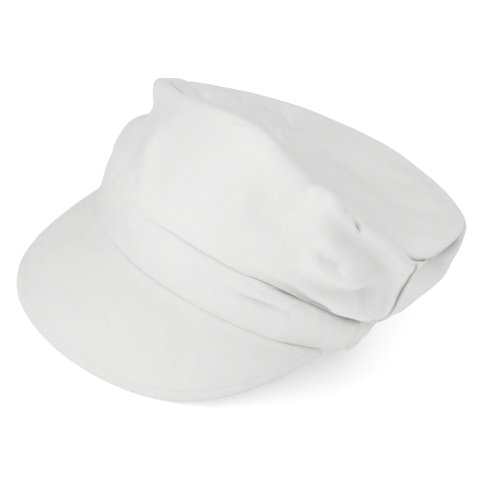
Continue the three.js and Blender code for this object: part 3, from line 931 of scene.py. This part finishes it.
def make_band(node, back):
    rise = graded(BAND_RISE_STEPS, even=0.3)[None]
    share = graded(BAND_STEPS, even=0.4)[:, None]
    end = BAND["seam_angle"] - BAND["seam_slant"] * rise
    angle = end + share * (360 - 2 * end) if back else (2 * share - 1) * end
    even = flush(angle)
    height = BAND["height"] * rise + FLUSH["lap"] * even * smoothstep(rise, 0.55, 1)
    mid = around(angle, band_radius(angle), height)
    width = np.radians(360 - 2 * end if back else 2 * end) * BAND_AROUND
    from_end = np.minimum(share, 1 - share) * width
    from_edge = np.minimum(rise, 1 - rise) * BAND["height"]
    seam = np.minimum(from_end, from_edge)
    cleft = stretch("cleft", angle)
    brow = BROW["rise"] - BROW["lower"] * smoothstep(angle, BROW["from"], BROW["to"])

    push = BAND_PUSH["bulge"] * np.sin(np.pi * rise) + 0 * share
    push += even * FLUSH["band_out"] * smoothstep(rise, 0.3, 0.95)
    push -= even * FLUSH["band_in"] * bell(rise - 0.25, 0.22)
    push -= even * FLUSH["sink"] * smoothstep(height - BAND["height"], -1.0, FLUSH["lap"]) ** 2
    push += uneven("band", mid) * smoothstep(seam, 0, 4)
    push += uneven("band_edges", mid) * bell(seam, 5.0) * smoothstep(seam, 0, 1.2) * (1 - even)
    # under the left lobe the band bulges, and its foot turns under
    turned = BAND_PUSH["turned_out"] * bell(rise - 0.6, 0.22)
    turned += BAND_PUSH["turned_in"] * smoothstep(0.42 - rise, 0, 0.3)
    push += stretch("turned_foot", angle) * turned
    push += BAND_PUSH["ends"] * np.exp(-from_end / 0.6) * smoothstep(from_edge, 0, 2)
    push += gathers(angle, rise, from_end) if back else front_creases(angle, rise, cleft, brow)
    mid = mid + grid_normals(mid) * push[..., None]
    normals = grid_normals(mid)

    full = BAND_HALF - (BAND_HALF - CROWN_HALF) * even * smoothstep(rise, 0.5, 1)
    rooted = root(angle) * (0 if back else 1)
    half = full * edge_round(np.where(from_end < BAND["height"] * rise, from_end, FAR), BAND_ROUND)
    half *= edge_round(BAND["height"] * rise, BAND_ROUND - 0.75 * rooted)
    upper_round = 0.1 + (0.15 + 0.65 * cleft) * (1 - even)
    half *= edge_round(BAND["height"] * (1 - rise), upper_round)
    # painted shade, partly seam soiling, along the edges and ends, and painted shade in the cleft
    painted_shade_and_wear = BAND_PAINTED_SHADE_AND_WEAR["edge"] * bell(seam, BAND_PAINTED_SHADE_AND_WEAR["edge_span"]) * (1 - rooted) * (1 - even)
    painted_shade_and_wear += BAND_PAINTED_SHADE_AND_WEAR["end"] * np.exp(-from_end / BAND_PAINTED_SHADE_AND_WEAR["end_span"])
    painted_shade_and_wear += BAND_PAINTED_SHADE_AND_WEAR["cleft"] * cleft * smoothstep(rise, brow - 0.01, brow + 0.03)
    uv = np.stack([np.radians(angle) * AROUND, height], axis=-1) / MM
    piece, outer, _ = cloth_piece(node, "band_cloth", mid, normals, half, uv, painted_shade_and_wear)
    if not back:
        return
    for label, share_up in CASING_ROWS.items():
        places = np.full(len(outer), np.interp(share_up, rise[0], np.arange(rise.shape[1])))
        stitch_row(f"stitches_band_{label}", outer, normals, places)


# ---- the peak ----

PEAK_STEPS = 320
PEAK_OUT_STEPS = 84
PEAK_HALF = 1.35  # half of the peak's thickness, mm
PEAK_ROUND = 1.3  # how round the peak's edges are, mm
PEAK_SPAN = 0.9985  # how near the points of the peak the cloth goes
PEAK_SEWN = {"up": 1.5, "up_smooth": 1.2, "back": 1.2}
PEAK_EDGE = {"turning": 0.06, "groove": -0.10, "span": 0.8, "past": 0.6}
# Painted shade, partly seam soiling, along the peak's seams and in the groove beside its stitches.
PEAK_PAINTED_SHADE_AND_WEAR = {"seam": 0.5, "span": 1.5, "stitches": 0.3, "stitches_span": 0.7}
# The peak's row of stitches: mm from its edge, and how far round the peak it goes.
TOPSTITCH = {"from_edge": 5.0, "span": 0.985}
# A soft crease across the peak: where, mm from the middle to the side, span, push.
PEAK_CREASE = {"across": -0.52, "width": 90, "span": 4.5, "push": -0.5}


def make_peak():
    share = np.linspace(0, 1, PEAK_STEPS + 1)[:, None]
    across = np.sin(np.pi * (share - 0.5)) * PEAK_SPAN
    out = 1 - graded(PEAK_OUT_STEPS, even=0.3)[None]
    mid = peak_point(across + 0 * out, out + 0 * across)
    rooted = root(PEAK["half_angle"] * across)
    # the sewn edge turns up towards the band, and further back where no line shows
    raised = PEAK_SEWN["up"] + PEAK_SEWN["up_smooth"] * rooted
    mid[..., 2] += raised * smoothstep(0.1 - out, 0, 0.1)
    mid[..., 1] += PEAK_SEWN["back"] * rooted * smoothstep(0.06 - out, 0, 0.06)
    from_edge = from_seam = FAR
    for edge, sewn in zip(mid[:, 0], mid[:, -1]):
        from_edge = np.minimum(from_edge, np.linalg.norm(mid - edge, axis=-1))
        from_seam = np.minimum(from_seam, np.linalg.norm(mid - sewn, axis=-1))
    seam = np.minimum(from_edge, from_seam)
    # the turning under the edge ends just past the row of stitches
    past_stitches = from_edge - TOPSTITCH["from_edge"]
    push = uneven("peak", mid) * smoothstep(seam, 0, 12)
    push += PEAK_EDGE["turning"] * smoothstep(0.2 - past_stitches, 0, 1.2)
    push += PEAK_EDGE["groove"] * bell(past_stitches - PEAK_EDGE["past"], PEAK_EDGE["span"])
    push += uneven("peak_edge", mid) * bell(from_edge, 7.0) * smoothstep(seam, 0, 1.5)
    crease = bell((across - PEAK_CREASE["across"]) * PEAK_CREASE["width"], PEAK_CREASE["span"])
    push += PEAK_CREASE["push"] * crease * smoothstep(out, 0.25, 0.6)
    mid = mid + grid_normals(mid) * push[..., None]
    normals = grid_normals(mid)
    half = PEAK_HALF * edge_round(from_edge, PEAK_ROUND)
    half *= edge_round(from_seam, PEAK_ROUND - 1.2 * rooted)
    uv = np.stack([mid[..., 0], from_seam], axis=-1) / MM
    # painted shade in the groove beside the stitches, and along the seams, partly soiling
    stitch_groove_shade = bell(past_stitches - PEAK_EDGE["past"], PEAK_PAINTED_SHADE_AND_WEAR["stitches_span"])
    painted_shade_and_wear = PEAK_PAINTED_SHADE_AND_WEAR["seam"] * bell(seam, PEAK_PAINTED_SHADE_AND_WEAR["span"]) * (1 - rooted)
    painted_shade_and_wear += PEAK_PAINTED_SHADE_AND_WEAR["stitches"] * stitch_groove_shade
    piece, outer, inner = cloth_piece("peak", "peak_cloth", mid, normals, half, uv, painted_shade_and_wear)
    stitched = np.abs(across[:, 0]) < TOPSTITCH["span"]
    places = rows_at(from_edge[stitched], TOPSTITCH["from_edge"])
    for face, surface, outward in (("upper", outer, normals), ("under", inner, -normals)):
        name = f"stitches_peak_{face}"
        stitch_row(name, surface[stitched], outward[stitched], places)


# ---- stitching ----

# Sizes of a stitch, mm. Its ends are thinner and dip in.
STITCH = {"length": 2.1, "pitch": 3.0, "radius": 0.18, "sunk": 0.08, "dip": 0.25}
STITCH_TAPER = 0.9
STITCH_RINGS = [-1.0, -0.75, -0.3, 0.3, 0.75, 1.0]
STITCH_SIDES = 6


def rows_at(distances, amount):
    """For each column, the place between its rows where the distance reaches an amount."""
    return np.array([np.interp(amount, column, np.arange(len(column))) for column in distances])


def pick(grid, places):
    low = np.floor(places).astype(int).clip(0, grid.shape[1] - 2)
    part = (places - low)[:, None]
    columns = np.arange(len(grid))
    return grid[columns, low] * (1 - part) + grid[columns, low + 1] * part


def stitch_row(name, surface, normals, places):
    """Stitches, each a bead of thread, along the line through a place in each column."""
    line = pick(surface, places)
    steps = np.linalg.norm(np.diff(line, axis=0), axis=-1)
    travelled = np.concatenate([[0], np.cumsum(steps)])
    length, pitch, radius, sunk, dip = (size / MM for size in STITCH.values())
    starts = np.arange(pitch, travelled[-1] - pitch, pitch)

    def at(where, values):
        return np.stack([np.interp(where, travelled, values[:, k]) for k in range(3)], axis=-1)

    forward = unit(at(starts + length / 2, line) - at(starts - length / 2, line))
    up = unit(at(starts, lean(pick(normals, places))))
    up = unit(up - forward * (up * forward).sum(axis=-1, keepdims=True))
    aside = np.cross(forward, up)
    centre = at(starts, line) - up * sunk
    points = []
    for ring in STITCH_RINGS:
        size = radius * math.sqrt(1 - STITCH_TAPER * ring**2)
        middle = centre + forward * (ring * length / 2) - up * (dip * ring**2)
        for side in range(STITCH_SIDES):
            turned = 2 * math.pi * side / STITCH_SIDES
            points.append(middle + (aside * math.cos(turned) + up * math.sin(turned)) * size)
    points = np.array(points).transpose(1, 0, 2).reshape(-1, 3)
    each = len(STITCH_RINGS) * STITCH_SIDES
    faces = [range(STITCH_SIDES)[::-1], range(each - STITCH_SIDES, each)]
    for start in range(0, each - STITCH_SIDES, STITCH_SIDES):
        for side in range(STITCH_SIDES):
            a = start + side
            b = start + (side + 1) % STITCH_SIDES
            faces.append([a, b, b + STITCH_SIDES, a + STITCH_SIDES])
    every = [[k * each + corner for corner in face] for k in range(len(starts)) for face in faces]
    mesh = bpy.data.meshes.new(name)
    mesh.from_pydata(points.tolist(), [], every)
    mesh.polygons.foreach_set("use_smooth", np.ones(len(every), bool))
    mesh.update()
    row = add_object(name, mesh, THREAD)
    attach(row, "root")
    return row


make_crown()
make_band("band_front", back=False)
make_band("band_back", back=True)
make_peak()

# ---- floor, light and camera ----

FLOOR_HALF = 6  # m


def make_floor():
    mesh = bpy.data.meshes.new("floor")
    far = FLOOR_HALF
    mesh.from_pydata([(-far, -far, 0), (far, -far, 0), (far, far, 0), (-far, far, 0)], [], [range(4)])
    material = bpy.data.materials.new("floor white")
    graph = Graph(material)
    graph.fill(graph.nodes["Principled BSDF"], {
        "Base Color": (0.72, 0.72, 0.72, 1), "Roughness": 0.7,
        "Emission Color": (1, 1, 1, 1), "Emission Strength": 0.42,
    })
    add_object("floor", mesh, material)


def soft_light(name, offset, size, power):
    data = bpy.data.lights.new(name, "AREA")
    data.shape = "DISK"
    data.size = size
    data.energy = power
    light = add_object(name, data)
    light.location = LIGHT_TARGET + offset
    light.rotation_euler = (-offset).to_track_quat("-Z", "Y").to_euler()


# The camera's place round the cap standing square, in degrees and mm, and how many degrees left
# of and below its line of sight the origin lies.
VIEW = {
    "round": 26.8, "above": 19.0, "roll": 28.9, "distance": 1300, "left": 0.155, "below": 0.608,
    "lens": 166.7, "sensor": 36,
}


def make_camera():
    a, e, r = (math.radians(VIEW[key]) for key in ("round", "above", "roll"))
    back = np.array([math.sin(a) * math.cos(e), -math.cos(a) * math.cos(e), math.sin(e)])
    right = np.array([math.cos(a), math.sin(a), 0])
    up = np.cross(back, right)
    image_right = right * math.cos(r) + up * math.sin(r)
    image_up = -right * math.sin(r) + up * math.cos(r)
    axes = lean(np.array([image_right, image_up, back]))
    position = (lean(back * VIEW["distance"]) + PLACE) / MM
    turned = Matrix(axes.T.tolist()).to_quaternion()
    aside, below = (math.tan(math.radians(VIEW[key])) for key in ("left", "below"))
    seen = Vector((-aside, -below, -1)).normalized()
    turned = turned @ seen.rotation_difference(Vector((0, 0, -1)))
    data = bpy.data.cameras.new("camera")
    data.lens = VIEW["lens"]
    data.sensor_width = VIEW["sensor"]
    camera = add_object("camera", data)
    camera.rotation_mode = "QUATERNION"
    camera.rotation_quaternion = turned
    camera.location = position
    bpy.context.scene.camera = camera


def make_world(even, sides, above):
    """Soft light from all round, with a share for the sides and a share from above."""
    world = bpy.data.worlds.new("studio")
    bpy.context.scene.world = world
    graph = Graph(world)
    direction = graph.add("ShaderNodeTexCoord").outputs["Generated"]
    x, _, z = graph.add("ShaderNodeSeparateXYZ", {0: direction}).outputs
    upward = graph.math("MAXIMUM", z, 0.0)
    total = graph.math("MULTIPLY_ADD", graph.math("MULTIPLY", x, x), sides, even)
    total = graph.math("MULTIPLY_ADD", graph.math("MULTIPLY", upward, upward), above, total)
    graph.fill(graph.nodes["Background"], {"Color": (1, 1, 1, 1), "Strength": total})


make_floor()
make_camera()
LIGHT_TARGET = Vector((0, 0, 0.06))  # lights are placed from here, in metres, with power in watts
soft_light("key", Vector((0.9, -1.4, 1.1)), size=1.2, power=7.8)
soft_light("fill", Vector((-0.8, -1.4, 1.2)), size=1.2, power=2.4)
make_world(even=0.84, sides=-0.84, above=0.36)
bpy.context.scene.view_settings.view_transform = "Standard"
